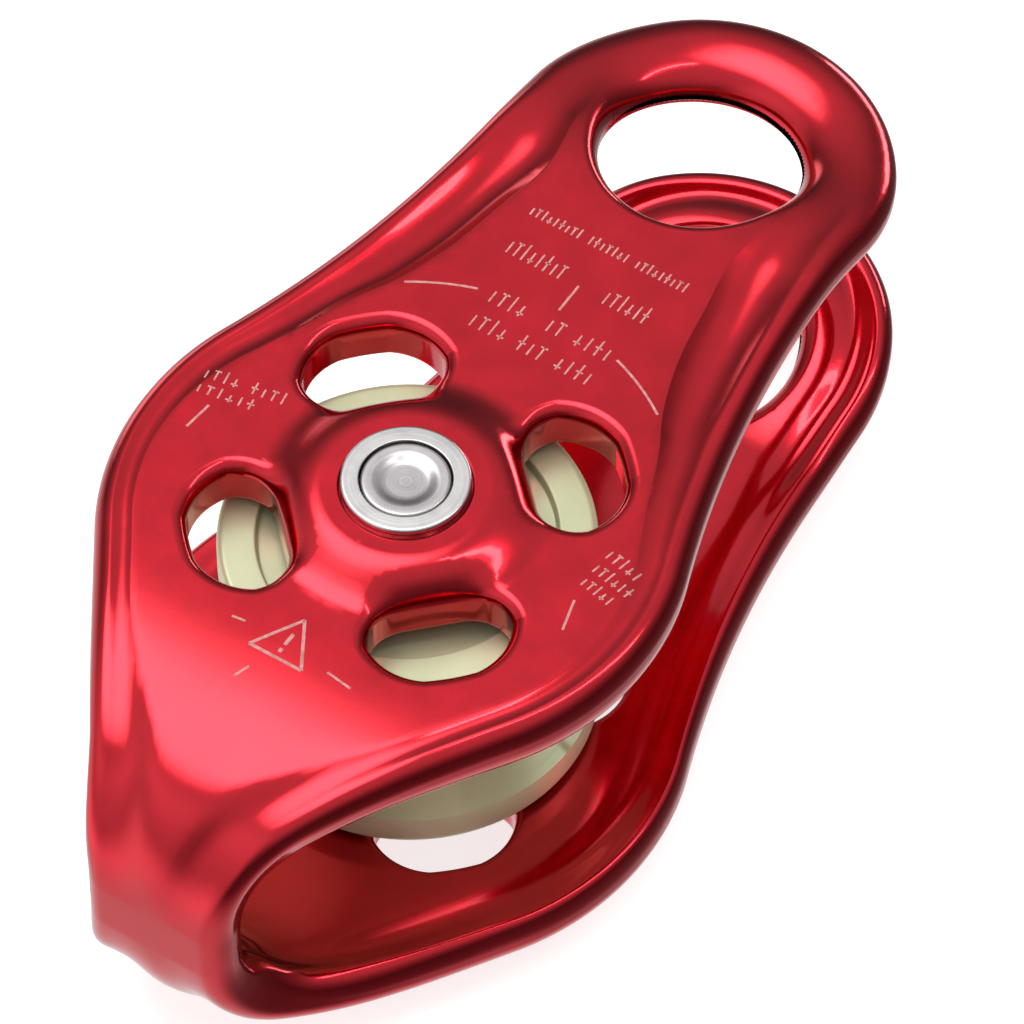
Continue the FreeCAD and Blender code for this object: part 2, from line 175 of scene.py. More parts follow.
def arc_from(start, end, radius):
    """An arc from one point to another, with its centre to the left of the way."""
    start, end = np.array(start, float), np.array(end, float)
    way = end - start
    half = np.linalg.norm(way) / 2
    left = np.array([-way[1], way[0]]) / (2 * half)
    centre = (start + end) / 2 + left * math.sqrt(radius**2 - half**2)
    first = math.atan2(*(start - centre)[::-1])
    turn = 2 * math.asin(half / radius)
    return arc(centre, radius, first, first + turn)


# ---------------------------------------------------------------------------------------------
# The body's mid-surface, rolled out flat: x across, and v along, which is Y on the flat cheeks
# ---------------------------------------------------------------------------------------------
BEND_SAMPLES = 4000


def bend_table():
    """The mid-surface's section from the middle of the bend to the flat cheek. The bend is flat in
    its middle, tightest on its shoulders, and eases off into the cheek. Returns length, y, z, the
    tangent's angle from Z, and the curvature."""

    def summed(rates, s):
        return np.r_[0.0, np.cumsum((rates[1:] + rates[:-1]) / 2 * np.diff(s))]

    def walk(length):
        s = np.linspace(0.0, length, BEND_SAMPLES)
        u = s / length
        shoulder_loss = 0.75 * fade(u, 0.34, 0.55)
        tail_loss = 0.25 * fade(u, 0.5, 1.0)
        bend = fade(u, 0.0, 0.3) * (1 - shoulder_loss - tail_loss)
        bend *= math.pi / 2 / summed(bend, s)[-1]
        angle = summed(bend, s)
        y = STRAP_END + HALF_WALL + summed(np.sin(angle), s)
        return s, y, summed(np.cos(angle), s), angle, bend

    size = walk(1.0)[2][-1]
    return walk(CHEEK_MID / size)


BEND_S, BEND_Y, BEND_Z, BEND_TURN, BEND_CURVE = bend_table()
V_FLAT = BEND_Y[-1]
V_APEX = V_FLAT - BEND_S[-1]
# The wall is thicker on its inside where the bend is tightest
CORNER_V = V_APEX + BEND_S[BEND_CURVE.argmax()]
CORNER_FILL = 1.5
CORNER_WIDTH = 6.0


def section(v):
    """y, z, tangent angle and curvature of the mid-surface at v."""
    s = np.asarray(v) - V_APEX
    beyond = np.maximum(s - BEND_S[-1], 0.0)
    y = np.interp(s, BEND_S, BEND_Y) + beyond
    z = np.interp(s, BEND_S, BEND_Z)
    return y, z, np.interp(s, BEND_S, BEND_TURN), np.interp(s, BEND_S, BEND_CURVE, right=0.0)


def outline():
    """The right-hand edge, from the eye's crown to the middle of the bend."""
    span = EYE_Y - HUB_TOP_Y
    hub_reach = HUB_R + WAIST_R
    eye_reach = EYE_R + WAIST_R
    along = (hub_reach**2 - eye_reach**2 + span**2) / (2 * span)
    across = math.sqrt(hub_reach**2 - along**2)
    waist = (across, HUB_TOP_Y + along)
    eye_end = math.atan2(waist[1] - EYE_Y, across)
    hub_start = math.atan2(along, across)
    edge = np.array([math.cos(TAPER), -math.sin(TAPER)])
    taper_start = np.array([0, HUB_LOW_Y]) + HUB_R * edge
    fillet_x = STRAP_HALF + STRAP_FILLET
    reach = taper_start @ edge + STRAP_FILLET
    fillet = np.array([fillet_x, (fillet_x * edge[0] - reach) / -edge[1]])
    runs = [
        arc((0, EYE_Y), EYE_R, math.pi / 2, eye_end),
        arc(waist, WAIST_R, eye_end + math.pi, hub_start + math.pi),
        arc((0, HUB_TOP_Y), HUB_R, hub_start, 0),
        line((HUB_R, HUB_TOP_Y), (HUB_R, HUB_LOW_Y)),
        arc((0, HUB_LOW_Y), HUB_R, 0, -TAPER),
        line(taper_start, fillet - STRAP_FILLET * edge),
        arc(fillet, STRAP_FILLET, math.pi - TAPER, math.pi),
        line((STRAP_HALF, fillet[1]), (STRAP_HALF, V_APEX)),
        [(STRAP_HALF, V_APEX)],
    ]
    points = np.concatenate(runs)
    points[0, 0] = 0.0
    return points


def window(angle):
    """A lightening window at an angle from +X: straight towards the axle, round towards the rim."""
    reach, radius = 12.7, 22.1  # from the axle to the straight edge, and to the round one
    half, arc_half = 7.3, 2.6  # half the width, and half the width of the round edge's middle
    inner, outer = 4.2, 6.8  # the corners' radii
    side_end = 16.95  # where the straight sides give way to the outer corners
    far = math.sqrt(radius**2 - arc_half**2)
    runs = [
        arc_from((reach, inner - half), (reach + inner, -half), inner),
        line((reach + inner, -half), (side_end, -half)),
        arc_from((side_end, -half), (far, -arc_half), outer),
        arc_from((far, -arc_half), (far, arc_half), radius),
        arc_from((far, arc_half), (side_end, half), outer),
        line((side_end, half), (reach + inner, half)),
        arc_from((reach + inner, half), (reach, half - inner), inner),
        line((reach, half - inner), (reach, inner - half)),
    ]
    c, s = math.cos(angle), math.sin(angle)
    return np.concatenate(runs) @ np.array([[c, s], [-s, c]])


OUTLINE = outline()
WINDOWS = [window(math.pi / 4), window(-math.pi / 4)]


def batches(points, size):
    """Slices that take the points a few at a time, which keeps tables of distances small."""
    return [slice(first, first + size) for first in range(0, len(points), size)]


def nearest(points, path, closed):
    """The distance from each point to a path, and the direction away from it. On the path itself
    that is its right-hand side, where the material is."""
    ends = np.roll(path, -1, axis=0) if closed else path[1:]
    starts = path if closed else path[:-1]
    ways = ends - starts
    squares = (ways**2).sum(1)
    distance = np.empty(len(points))
    away = np.empty((len(points), 2))
    for batch in batches(points, 2000):
        part = points[batch, None]
        u = np.clip(((part - starts) * ways).sum(2) / squares, 0, 1)
        gap = part - (starts + u[..., None] * ways)
        square = (gap**2).sum(2)
        best = square.argmin(1)
        rows = np.arange(len(best))
        distance[batch] = np.sqrt(square[rows, best])
        side = np.c_[ways[best, 1], -ways[best, 0]] / np.sqrt(squares[best])[:, None]
        size = distance[batch, None]
        here = gap[rows, best] / np.maximum(size, 1e-9)
        away[batch] = np.where(size > ON_PATH, here, side)
    return distance, away


def inside(points, path):
    """Which points lie inside a closed convex path that runs anticlockwise."""
    ways = np.roll(path, -1, axis=0) - path
    rel = points[:, None] - path
    return (ways[:, 0] * rel[..., 1] - ways[:, 1] * rel[..., 0] > 0).all(1)


# ---------------------------------------------------------------------------------------------
# Heights of the body's two faces above the mid-surface. rim, win, eye and hub are the distances to
# the outline, to the nearest window, to the eye's bore and to the axle. Knots are pairs of v and the
# value there.
# ---------------------------------------------------------------------------------------------
LAND = 0.25  # half the thickness that is left at the edges
EDGE_DROP = HALF_WALL - LAND
EDGE_POWER = 2.05

# The groove beside the rim's bead: how softly its crease meets the flat panel on the cheek, how much
# more softly on the bend, between which v it changes, and how softly it meets the bead
CREASE = 0.06
BEND_CREASE = 0.9
CREASE_CHANGES = (-30, -24)
BEAD_SOFT = 0.5

# The boss round the axle, and the edge of the washer's seat in it
BOSS_RISE = 2.1
BOSS_TOP_R = 8.6
BOSS_FOOT_R = 15.2
SEAT_ROUND = 0.25

# How far in the windows' edges are rounded: more on the side of the boss
WINDOW_ROUND = 1.5
WINDOW_ROUND_INSIDE = 1.0
BOSS_SIDE_ROUND = 1.3
BOSS_SIDE_R = (12.0, 15.5)

# How far the eye's edge is rounded, and how much further at its crown. There the face also slopes
# down towards the bore, as (slope, where it starts, how softly), and a little towards the rim.
EYE_ROUND = 1.7
EYE_ROUND_CROWN = 2.0
EYE_ROUND_INSIDE = 2.4
CROWN_TO_BORE = (0.26, 4.6, 1.2)
CROWN_LIFT = 0.3
CROWN_TO_RIM = (0.03, 4.4, 1.6)

# The shallow groove inside the rim on the inner face, deeper near the eye
INNER_GROOVE = 0.35
INNER_GROOVE_EYE = 0.45
INNER_GROOVE_MIDDLE = 3.8
INNER_GROOVE_WIDTH = 1.7


def crown_share(x, v):
    """1 over the eye's crown, 0 below the eye."""
    return fade((v - EYE_Y) / np.maximum(np.hypot(x, v - EYE_Y), 1e-6), -0.45, 0.6)


def groove_middle(v):
    """How far from the edge the groove beside the rim's bead runs."""
    below = ((-46, 4.4), (-40, 4.2), (-34, 3.7), (-27, 3.0), (-18, 2.9), (-8, 3.0))
    above = ((2, 3.4), (12, 4.0), (19, 4.5), (22, 5.0), (28.5, 5.35), (36.5, 5.5), (43, 5.8), (50, 5.2))
    return follow(v, *below, *above)


def groove_half(v):
    """Half the groove's width."""
    below = ((-46, 2.8), (-40, 2.7), (-34, 2.0), (-27, 1.2), (-18, 1.0), (-8, 1.0))
    above = ((2, 1.3), (12, 1.7), (19, 2.1), (22, 2.5), (28.5, 3.2), (36.5, 3.4), (43, 3.5), (50, 2.6))
    return follow(v, *below, *above)


def groove_depth(v):
    below = ((-52, 0.0), (-48, 0.3), (-43, 0.8), (-38, 0.75), (-31, 0.35), (-18, 0.25))
    hub = ((0, 0.28), (10, 0.45), (20, 0.85))
    above = ((28, 1.35), (35, 1.5), (41, 1.25), (47, 0.75), (54, 0.3), (64, 0.0))
    return follow(v, *below, *hub, *above)


def grooved_panel(rim, v):
    """The flat panel with the groove cut in. The crease between them is sharp along the cheek and
    soft on the bend, and the groove's other side runs softly up to the bead."""
    middle, half = groove_middle(v), groove_half(v)
    depth = groove_depth(v)
    groove = HALF_WALL - depth * (1 - ((rim - middle) / half) ** 2) + 0.001
    crease = CREASE + BEND_CREASE * (1 - fade(v, *CREASE_CHANGES)) * depth
    bead_side = 1 - fade(rim, middle - 0.9 * half, middle)
    return soft_min(HALF_WALL, groove, crease + BEAD_SOFT * bead_side * fade(depth, 0.2, 1.0))


def rounded(height, distance, reach):
    """The height with an outer edge rounded off, from its land up to full height at reach."""
    return height - EDGE_DROP * (1 - rise(distance, reach, EDGE_POWER))


def outer_height(rim, win, eye, hub, x, v):
    """The panel, the groove and the boss, with all their edges rounded."""
    height = grooved_panel(rim, v)
    height = height + BOSS_RISE * (1 - fade(hub, BOSS_TOP_R, BOSS_FOOT_R))
    below = ((-56, 2.6), (-48, 2.7), (-40, 2.6), (-28, 2.4))
    above = ((20, 2.3), (44, 2.5), (52, 3.1), (60, 4.0), (68, 4.2))
    height = rounded(height, rim, follow(v, *below, *above))
    crown = crown_share(x, v)
    height = rounded(height, eye, EYE_ROUND + EYE_ROUND_CROWN * crown)
    slope, start, width = CROWN_TO_BORE
    height = height - slope * crown * (soft_above(start - eye, width) - CROWN_LIFT)
    slope, start, width = CROWN_TO_RIM
    height = height - slope * crown * soft_above(start - rim, width)
    height = height - SEAT_ROUND * (1 - rise(hub - SEAT_R, SEAT_ROUND))
    rounding = WINDOW_ROUND + BOSS_SIDE_ROUND * (1 - fade(hub, *BOSS_SIDE_R))
    return height - rounding * (1 - rise(win, rounding))


def inner_height(rim, win, eye, _hub, _x, v):
    """Like outer_height, but downwards, and flat round the axle."""
    groove = INNER_GROOVE + INNER_GROOVE_EYE * fade(v, 36, 48)
    height = HALF_WALL - groove * bell(rim - INNER_GROOVE_MIDDLE, INNER_GROOVE_WIDTH)
    reach = follow(v, (-56, 4.0), (-40, 3.0), (-28, 1.9), (44, 1.9), (52, 2.0), (68, 2.4))
    height = rounded(height, rim, reach)
    height = rounded(height, eye, EYE_ROUND_INSIDE)
    height = height + CORNER_FILL * bell(v - CORNER_V, CORNER_WIDTH)
    return -(height - WINDOW_ROUND_INSIDE * (1 - rise(win, WINDOW_ROUND_INSIDE)))


def measure(points):
    """The four distances for points on the rolled-out plane, and their gradients."""
    rim, rim_away = nearest(points, OUTLINE, False)
    gaps = [nearest(points, w, True) for w in WINDOWS]
    pick = (gaps[1][0] < gaps[0][0])[:, None]
    win = np.minimum(gaps[0][0], gaps[1][0])
    win_away = np.where(pick, gaps[1][1], gaps[0][1])
    centre = points - [0, EYE_Y]
    eye_r = np.maximum(np.linalg.norm(centre, axis=1), 1e-6)
    hub_r = np.maximum(np.linalg.norm(points, axis=1), 1e-6)
    distances = [rim, win, np.maximum(eye_r - EYE_BORE, 0), hub_r]
    return distances, [rim_away, win_away, centre / eye_r[:, None], points / hub_r[:, None]]


def surface(points, height, lift=0.0):
    """Where points of the rolled-out plane lie on a face of the upper cheek, and its normals. The
    slopes along the distances come from small steps in each, with everything else held."""
    distances, gradients = measure(points)
    x, v = points.T
    base = height(*distances, x, v)
    slope = np.zeros((len(points), 2))
    tiny = 1e-4
    for i in range(len(distances)):
        moved = list(distances)
        moved[i] = moved[i] + tiny
        slope += ((height(*moved, x, v) - base) / tiny)[:, None] * gradients[i]
    slope[:, 0] += (height(*distances, x + tiny, v) - base) / tiny
    slope[:, 1] += (height(*distances, x, v + tiny) - base) / tiny
    y, z, angle, curve = section(v)
    w = base + lift
    out_y, out_z = -np.cos(angle), np.sin(angle)
    along_y, along_z = np.sin(angle), np.cos(angle)
    stretch = 1 + curve * w
    lean = (y + w * out_y - LEAN_START) / LEAN_LENGTH
    spot = np.c_[x, y + w * out_y, z + w * out_z - LEAN * fade(lean, 0, 1)]
    normal = np.c_[
        -slope[:, 0],
        out_y - slope[:, 1] / stretch * along_y,
        out_z - slope[:, 1] / stretch * along_z,
    ]
    # The lean tips the normals by the slope of its own smooth step
    u = np.clip(lean, 0, 1)
    normal[:, 1] += normal[:, 2] * LEAN * 6 * u * (1 - u) / LEAN_LENGTH
    normal /= np.linalg.norm(normal, axis=1)[:, None]
    return spot, normal if height is outer_height else -normal


# ---------------------------------------------------------------------------------------------
# The body's mesh. The steps say how far in from an edge its rows of points lie.
# ---------------------------------------------------------------------------------------------
RIM_STEPS = (0.05, 0.18, 0.4, 0.75, 1.2, 1.65, 2.1, 2.55, 3.0, 3.5, 4.1, 4.8, 5.6)
RIM_WIDE_STEPS = (6.4, 7.2, 8.0, 8.8)
WINDOW_STEPS = (0.03, 0.13, 0.32, 0.6, 1.0, 1.5, 2.0, 2.5)
EYE_STEPS = (0.04, 0.16, 0.4, 0.75, 1.2, 1.7)
EYE_WIDE_STEPS = (2.3, 3.0, 3.8)
SEAT_STEPS = (0.04, 0.12, 0.25, 0.6)
CREASE_STEPS = (-0.08, 0.0, 0.08)
BOSS_RINGS = (4.8, 5.8, 7.7, 8.1, 8.5, 9.0, 9.6, 10.3, 11.1, 12.0, 13.0)
GRID_STEP = 1.0


def circle_points(centre_y, radius):
    """The right-hand half of a circle on the Y axis, from its top to its foot."""
    count = math.ceil(math.pi * radius / EDGE_STEP)
    angles = np.pi / 2 - np.pi * np.arange(count + 1) / count
    points = np.c_[radius * np.cos(angles), centre_y + radius * np.sin(angles)]
    points[[0, -1], 0] = 0.0
    return points


def inward(path, distance):
    """The right-hand outline moved inwards."""
    ways = np.gradient(path, axis=0)
    ways /= np.linalg.norm(ways, axis=1)[:, None]
    moved = path + distance * np.c_[ways[:, 1], -ways[:, 0]]
    moved[0, 0] = 0.0
    moved[-1, 1] = path[-1, 1]
    return moved


def crease_path(offset):
    """The edge between the flat panel and the groove, seen from above, moved by offset."""
    path = OUTLINE
    # The groove's size depends on where the path has moved to, so it takes a few rounds
    for _ in range(8):
        v = path[:, 1]
        path = inward(OUTLINE, (groove_middle(v) + groove_half(v))[:, None] + offset)
    margin = 0.3
    spots = path[(v < EYE_Y - 2) & (v > CREASE_CHANGES[0]) & (path[:, 0] > margin)]
    return spots[np.linalg.norm(spots - [0, EYE_Y], axis=1) > EYE_BORE + margin]


def around(path, distance):
    """A window's outline moved outwards."""
    ways = np.roll(path, -1, axis=0) - np.roll(path, 1, axis=0)
    ways /= np.linalg.norm(ways, axis=1)[:, None]
    return path + distance * np.c_[ways[:, 1], -ways[:, 0]]


def keep_apart(points, others, gap):
    """The points that are at least gap away from all the others."""
    clear = np.ones(len(points), bool)
    for batch in batches(points, 500):
        part = points[batch, None]
        clear[batch] = ((part - others) ** 2).sum(2).min(1) > gap * gap
    return points[clear]


def grid(step):
    """A grid of nearly equal-sided triangles over the right-hand half."""
    across = np.arange(0, HUB_R, step)
    rows = []
    for i, v in enumerate(np.arange(V_APEX, EYE_Y + EYE_R, step * 0.866)):
        rows.append(np.c_[across + (i % 2) * step / 2, np.full(len(across), v)])
    return np.concatenate(rows)


def full_circle(half):
    """A whole circle, anticlockwise, from its right-hand half."""
    return np.concatenate([half[::-1], (half * [-1, 1])[1:-1]])


def plan_border(eye_edge, bore_edge):
    """The whole edge of the right-hand half, as one loop."""
    return np.concatenate([
        OUTLINE,
        line((STRAP_HALF, V_APEX), (0, V_APEX), AXIS_STEP)[1:],
        line((0, V_APEX), (0, -AXLE_BORE), AXIS_STEP),
        bore_edge[::-1],
        line((0, AXLE_BORE), (0, EYE_Y - EYE_BORE), AXIS_STEP)[1:],
        eye_edge[::-1],
        line((0, EYE_Y + EYE_BORE), (0, EYE_Y + EYE_R), AXIS_STEP)[1:],
    ])


def plan_edges(loops, seat_edge):
    """The edges that the triangles have to keep, as pairs of point numbers."""
    edges = []
    start = 0
    for loop in loops:
        edges += [(start + i, start + (i + 1) % len(loop)) for i in range(len(loop))]
        start += len(loop)
    return edges + [(start + i, start + i + 1) for i in range(len(seat_edge) - 1)]


def filled(points):
    """The edges' points with the inner ones added: close rows along the edges, then a grid."""
    # Each group of points, and how far it stays from the points before it
    groups = [
        (0.03, [inward(OUTLINE, d) for d in RIM_STEPS]),
        (0.02, [around(w, d) for w in WINDOWS for d in WINDOW_STEPS]),
        (0.02, [circle_points(EYE_Y, EYE_BORE + d) for d in EYE_STEPS]),
        (0.02, [circle_points(0, SEAT_R + d) for d in SEAT_STEPS]),
        (0.05, [crease_path(d) for d in CREASE_STEPS]),
        (0.30, [circle_points(EYE_Y, EYE_BORE + d) for d in EYE_WIDE_STEPS]),
        (0.30, [circle_points(0, r) for r in BOSS_RINGS]),
        (0.45, [inward(OUTLINE, d) for d in RIM_WIDE_STEPS]),
        (0.55, [grid(GRID_STEP)]),
    ]
    for gap, rows in groups:
        points = np.concatenate([points, keep_apart(np.concatenate(rows), points, gap)])
    return points


def half_plan():
    """Triangles over the right-hand half of the rolled-out cheek. Returns points, triangles, and
    which triangles lie in the washer's seat."""
    eye_edge = circle_points(EYE_Y, EYE_BORE)
    bore_edge = circle_points(0, AXLE_BORE)
    seat_edge = circle_points(0, SEAT_R)
    loops = [plan_border(eye_edge, bore_edge), *WINDOWS]
    points = filled(np.concatenate([*loops, seat_edge]))
    edges = plan_edges(loops, seat_edge)
    result = delaunay_2d_cdt([Vector(p) for p in points], edges, [], 0, 1e-5)
    points = np.array([tuple(p) for p in result[0]])
    triangles = np.array(result[2])
    centres = points[triangles].mean(1)
    width = np.interp(-centres[:, 1], -OUTLINE[:, 1], OUTLINE[:, 0])
    keep = (centres[:, 0] > 0) & (centres[:, 0] < width) & (centres[:, 1] > V_APEX)
    for hole in [full_circle(eye_edge), full_circle(bore_edge), *WINDOWS]:
        keep &= ~inside(centres, hole)
    return points, triangles[keep], inside(centres[keep], full_circle(seat_edge))


def open_edges(triangles):
    """The edges that only one triangle has, in that triangle's direction."""
    ways = np.concatenate([triangles[:, [0, 1]], triangles[:, [1, 2]], triangles[:, [2, 0]]])
    known = set(map(tuple, ways.tolist()))
    return np.array([(a, b) for a, b in ways.tolist() if (b, a) not in known])


def washer_seat(plan, seat, first):
    """The washer's seat and the bore below it, from the outer face's open edges round the seat.
    Returns points, normals, a number for each set that is smooth in itself, and faces. first is
    the number of the first new point."""
    used = np.unique(seat)
    spot = {u: i for i, u in enumerate(used)}
    size = len(used)
    outwards = plan[used] / np.linalg.norm(plan[used], axis=1)[:, None]
    inwards = np.c_[-outwards, np.zeros(size)]
    upwards = np.tile([0.0, 0.0, 1.0], (size, 1))
    rings = (
        (SEAT_R, SEAT_Z, inwards, 1),
        (SEAT_R, SEAT_Z, upwards, 2),
        (AXLE_BORE, SEAT_Z, upwards, 2),
        (AXLE_BORE, SEAT_Z, inwards, 3),
        (AXLE_BORE, CHEEK_MID - HALF_WALL, inwards, 3),
    )
    points = np.concatenate([np.c_[outwards * radius, np.full(size, z)] for radius, z, _, _ in rings])
    normals = np.concatenate([ring[2] for ring in rings])
    kinds = np.repeat([ring[3] for ring in rings], size)
    i, j = (first + np.array([spot[u] for u in end]) for end in seat.T)
    faces = np.concatenate([
        np.c_[seat[:, 1], seat[:, 0], i, j],
        np.c_[j + size, i + size, i + 2 * size, j + 2 * size],
        np.c_[j + 3 * size, i + 3 * size, i + 4 * size, j + 4 * size],
    ])
    return points, normals, kinds, faces.tolist()


def quarter_body():
    """A quarter of the body, right and upper: points, normals, a number for each set of points
    that is smooth in itself, and faces."""
    plan, triangles, in_seat = half_plan()
    top, top_normals = surface(plan, outer_height)
    low, low_normals = surface(plan, inner_height)
    count = len(plan)
    outer = triangles[~in_seat]
    a, b = open_edges(outer).T

    def along(values, least):
        return (values[a] < least + ON_EDGE) & (values[b] < least + ON_EDGE)

    on_seat = along(np.linalg.norm(plan, axis=1), SEAT_R)
    on_mirror = along(plan[:, 0], 0) | along(plan[:, 1], V_APEX)
    walls = np.c_[b, a, a + count, b + count][~(on_mirror | on_seat)]
    seat = washer_seat(plan, np.c_[a, b][on_seat], 2 * count)
    points = np.concatenate([top, low, seat[0]])
    normals = np.concatenate([top_normals, low_normals, seat[1]])
    kinds = np.r_[np.zeros(2 * count), seat[2]]
    faces = [*outer.tolist(), *(triangles[:, ::-1] + count).tolist(), *walls.tolist(), *seat[3]]
    return points, normals, kinds, faces


def merged_quarters(points, normals, kinds, faces):
    """The whole body from its quarter, with points that meet within a micron made one."""
    all_points, all_normals, all_faces = [], [], []
    for sx in (1, -1):
        for sz in (1, -1):
            first = len(all_points) * len(points)
            flip = sx * sz < 0
            all_points.append(points * [sx, 1, sz])
            all_normals.append(normals * [sx, 1, sz])
            for f in faces:
                moved = [first + k for k in f]
                all_faces.append(moved[::-1] if flip else moved)
    points = np.concatenate(all_points)
    normals = np.concatenate(all_normals)
    microns = np.round(points * 1000)
    keys = np.c_[microns, np.tile(kinds, 4)].astype(int)
    _, first, where = np.unique(keys, axis=0, return_index=True, return_inverse=True)
    where = where.ravel()
    merged = np.zeros((len(first), 3))
    np.add.at(merged, where, normals)
    merged /= np.maximum(np.linalg.norm(merged, axis=1), 1e-9)[:, None]
    all_faces = [[int(where[k]) for k in f] for f in all_faces]
    # A face that lost a corner in the merge is a sliver, and is left out
    all_faces = [f for f in all_faces if len(set(f)) == len(f)]
    used = sorted({k for f in all_faces for k in f})
    spot = {u: i for i, u in enumerate(used)}
    all_faces = [[spot[k] for k in f] for f in all_faces]
    return points[first][used], merged[used], all_faces


def forged_body(material):
    points, normals, faces = merged_quarters(*quarter_body())
    body = add_piece("pulley_body", points, faces, material, normals)
    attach(body, "frame")
    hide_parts("forged_body")


def add_piece(name, points, faces, material, normals=None):
    """A smooth mesh from points in millimetres. Without normals it gets ones weighted by area."""
    points = np.asarray(points, float)
    if normals is None:
        normals = np.zeros_like(points)
        for f in faces:
            p = points[list(f)]
            area = np.cross(p[2] - p[0], p[-1] - p[1])
            for k in f:
                normals[k] += area
        normals /= np.maximum(np.linalg.norm(normals, axis=1), 1e-12)[:, None]
    mesh = bpy.data.meshes.new(name)
    mesh.from_pydata((points * MM).tolist(), [], faces)
    mesh.update()
    mesh.polygons.foreach_set("use_smooth", [True] * len(mesh.polygons))
    mesh.normals_split_custom_set_from_vertices(normals.tolist())
    mesh.materials.append(material)
    piece = bpy.data.objects.new(name, mesh)
    bpy.context.scene.collection.objects.link(piece)
    return piece


# ---------------------------------------------------------------------------------------------
# Turned pieces
# ---------------------------------------------------------------------------------------------
SEGMENTS = 160
EDGE_POINTS = 7


def softened(corners):
    """A profile from corners (radius, z) or (radius, z, edge radius), with those edges rounded."""
    count = len(corners)
    out = []
    for i, corner in enumerate(corners):
        here = np.array(corner[:2], float)
        if len(corner) < 3:
            out.append(here)
            continue
        a = np.array(corners[i - 1][:2]) - here
        b = np.array(corners[(i + 1) % count][:2]) - here
        a /= np.linalg.norm(a)
        b /= np.linalg.norm(b)
        half = math.acos(np.clip(a @ b, -1, 1)) / 2
        reach = corner[2] / math.tan(half)
        # A parabola through the two ends is close to an arc, and needs no centre
        for u in np.linspace(0, 1, EDGE_POINTS):
            out.append(here + a * reach * (1 - u) ** 2 + b * reach * u**2)
    return out


def turned(name, profile, material, body):
    """A solid turned about Z. The profile runs anticlockwise in (radius, z). It closes on itself,
    or starts and ends on the axis."""
    points, faces, rings = [], [], []
    angles = 2 * math.pi * np.arange(SEGMENTS) / SEGMENTS
    for r, z in profile:
        if r < 1e-6:
            rings.append([len(points)] * SEGMENTS)
            points.append((0, 0, z))
        else:
            rings.append(list(range(len(points), len(points) + SEGMENTS)))
            points += zip(r * np.cos(angles), r * np.sin(angles), [z] * SEGMENTS)
    count = len(rings)
    for i in range(count if profile[0][0] > 1e-6 else count - 1):
        one, two = rings[i], rings[(i + 1) % count]
        for k in range(SEGMENTS):
            m = (k + 1) % SEGMENTS
            face = [one[k], one[m], two[m], two[k]]
            faces.append(list(dict.fromkeys(face)))
    piece = add_piece(name, points, faces, material)
    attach(piece, body)
    return piece


def mirrored_profile(above):
    """The whole profile from its upper half."""
    return above + [(c[0], -c[1], *c[2:]) for c in reversed(above)]


def sheave(material):
    """The wheel: a round rope groove, a shallow dish in each side, seats for the bearings with a
    shoulder between them, and grooves for the retaining rings."""
    radius, top, bore = SHEAVE_R, SHEAVE_TOP, RACE_HIGH[0]
    groove_r, groove_centre = 9.5, 20.6
    mouth = math.asin((groove_centre - radius) / groove_r)
    # The lip's rounding takes the place of the points at the two ends
    spare = 7
    angles = np.linspace(math.pi * 1.5 - mouth, math.pi / 2 + mouth, 41)[spare:-spare]
    groove = [(groove_centre + groove_r * math.cos(t), groove_r * math.sin(t)) for t in angles]
    mouth_z = groove_r * math.cos(mouth)
    ring_low, ring_high = RING_LOW[2], RING_HIGH[2]
    ring_r = bore + 0.5
    lip_round, rim_round, edge = 2.6, 0.8, 0.25
    dish_floor = top - 1.0
    shoulder_r = 6.7
    above = [
        (radius, mouth_z, lip_round),
        (radius, top, rim_round),
        (15.3, top, edge),
        (15.1, dish_floor, edge),
        (10.5, dish_floor, edge),
        (10.3, top, edge),
        (bore, top, 0.2),
        (bore, ring_high),
        (ring_r, ring_high),
        (ring_r, ring_low),
        (bore, ring_low),
        (bore, RACE_LOW[2]),
        (shoulder_r, RACE_LOW[2]),
    ]
    profile = softened(mirrored_profile(above)) + groove
    piece = turned("grooved_sheave", profile, material, "sheave_assembly")
    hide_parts("sheave")


def washer(side, sign, material):
    """A washer with a recess for the axle's head. Turning the profile over needs its order turned
    round too, which a step of -1 does."""
    low, top = SEAT_Z, WASHER_HIGH[2]
    recess, floor = 4.75, 21.5
    corners = [
        (AXLE_BORE, low),
        (WASHER_HIGH[0], low),
        (WASHER_HIGH[0], top, 0.35),
        (recess, top, 0.12),
        (recess, floor),
        (AXLE_BORE, floor),
    ]
    profile = [(r, sign * z) for r, z in softened(corners)]
    piece = turned(f"{side}_axle_washer", profile[::sign], material, "frame")
    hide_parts(f"{side}_washer")


def axle(material):
    """The riveted axle, with a head at each end that is dished in its middle."""
    top, head = PIN_HIGH[2], PIN_HIGH[0]
    shank, seat = 3.98, 21.54
    dish, dish_flat, depth = 3.5, 2.1, 0.35
    dished = [(r, top - depth * (1 - fade(r, dish_flat, dish))) for r in np.linspace(0, dish, 15)]
    below_head = [(shank, seat), (head, seat), (head, top, 0.4), (dish + 0.05, top)]
    above = softened(below_head)[:-1] + dished[::-1]
    lower = [(r, -z) for r, z in above[::-1]]
    piece = turned("riveted_axle", lower + above, material, "frame")
    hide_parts("axle_pin")


# ---------------------------------------------------------------------------------------------
# Laser marks: generic strokes in place of the lettering
# ---------------------------------------------------------------------------------------------
LINE_WIDTH = 0.26
TICK_WIDTH = 0.2
MARK_TOP = 0.02  # how high the marks stand above the body's face, and how deep they go into it
MARK_FOOT = -0.06


